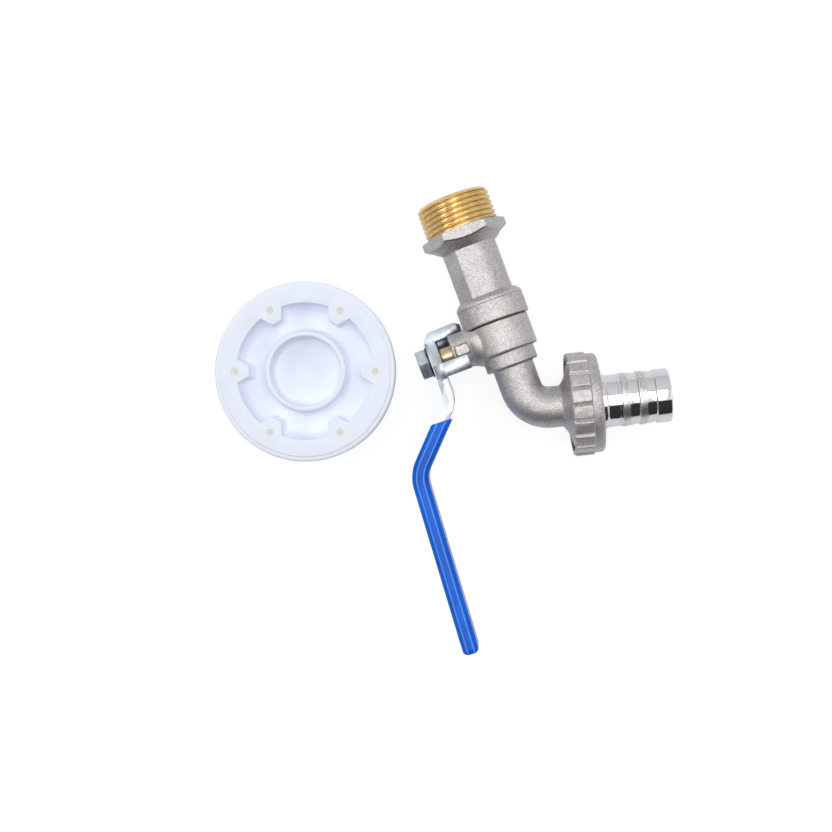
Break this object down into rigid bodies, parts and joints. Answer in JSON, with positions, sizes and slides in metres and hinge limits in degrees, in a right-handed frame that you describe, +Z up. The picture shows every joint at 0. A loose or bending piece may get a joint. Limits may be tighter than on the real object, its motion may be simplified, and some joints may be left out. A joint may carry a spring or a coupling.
{
  "type": "drum bung tap",
  "caption": "Lever ball tap with drum thread, bent spout, union nut and hose tail, lying beside its threaded drum bung with star socket and closed centre socket.",
  "frame": {"origin": "middle of the set's footprint, on the table that the tap and the bung lie on", "axes": "+Z up from the table; +Y along the tap's inlet, out of the inlet thread; +X to the spout side, away from the lever"},
  "size_m": [0.1526, 0.1548, 0.037],
  "materials": {
    "valve_body": "satin nickel plate on brass",
    "inlet_end": "satin nickel plate on brass",
    "union_nut": "satin nickel plate on brass",
    "hose_tail": "bright chrome plate on brass",
    "ball": "polished chrome plate on brass",
    "stem": "bare brass",
    "body_seal": "white soft plastic",
    "seat_upstream": "white soft plastic",
    "seat_downstream": "white soft plastic",
    "stem_washer": "white soft plastic",
    "stem_ring_inner": "black rubber",
    "stem_ring_outer": "black rubber",
    "lever": "bright zinc plate on steel",
    "lever_sleeve": "glossy blue soft vinyl",
    "lever_washer": "dark zinc plate",
    "lever_nut": "zinc plate on steel",
    "union_washer": "black rubber",
    "bung": "white moulded plastic",
    "bung_gasket": "pale foam rubber"
  },
  "bodies": {
    "tap": {"valve_body": "valve_body", "inlet_end": "inlet_end", "body_seal": "body_seal", "seat_upstream": "seat_upstream", "seat_downstream": "seat_downstream", "stem_washer": "stem_washer"},
    "handle": {"lever": "lever", "lever_sleeve": "lever_sleeve", "lever_washer": "lever_washer", "lever_nut": "lever_nut", "stem": "stem", "stem_ring_inner": "stem_ring_inner", "stem_ring_outer": "stem_ring_outer"},
    "ball": {"ball": "ball"},
    "tail": {"hose_tail": "hose_tail", "union_washer": "union_washer"},
    "nut": {"union_nut": "union_nut"},
    "bung": {"bung": "bung", "bung_gasket": "bung_gasket"}
  },
  "joints": [
    {"name": "lever_turn", "type": "hinge", "parent": "tap", "child": "handle", "pos_m": [0.025, 0.02533, 0.0185], "axis": [1, 0, 0], "range_deg": [0, 90]},
    {"name": "ball_turn", "type": "hinge", "parent": "tap", "child": "ball", "pos_m": [0.025, 0.02533, 0.0185], "axis": [1, 0, 0], "range_deg": [0, 90]},
    {"name": "union_draw", "type": "slide", "parent": "tap", "child": "tail", "axis": [0.969, -0.247, 0], "range_m": [0, 0.00577]},
    {"name": "union_nut_turn", "type": "hinge", "parent": "tail", "child": "nut", "pos_m": [0.04438, -0.00751, 0.0185], "axis": [0.969, -0.247, 0], "range_deg": [0, 900]},
    {"name": "bung_lift", "type": "slide", "parent": "tap", "child": "bung", "axis": [0, 0, 1], "range_m": [0, 0.06]}
  ],
  "couplings": [
    {"joint": "ball_turn", "follows": "lever_turn", "ratio": 1},
    {"joint": "union_nut_turn", "follows": "union_draw", "rad_per_m": 2721.2}
  ]
}
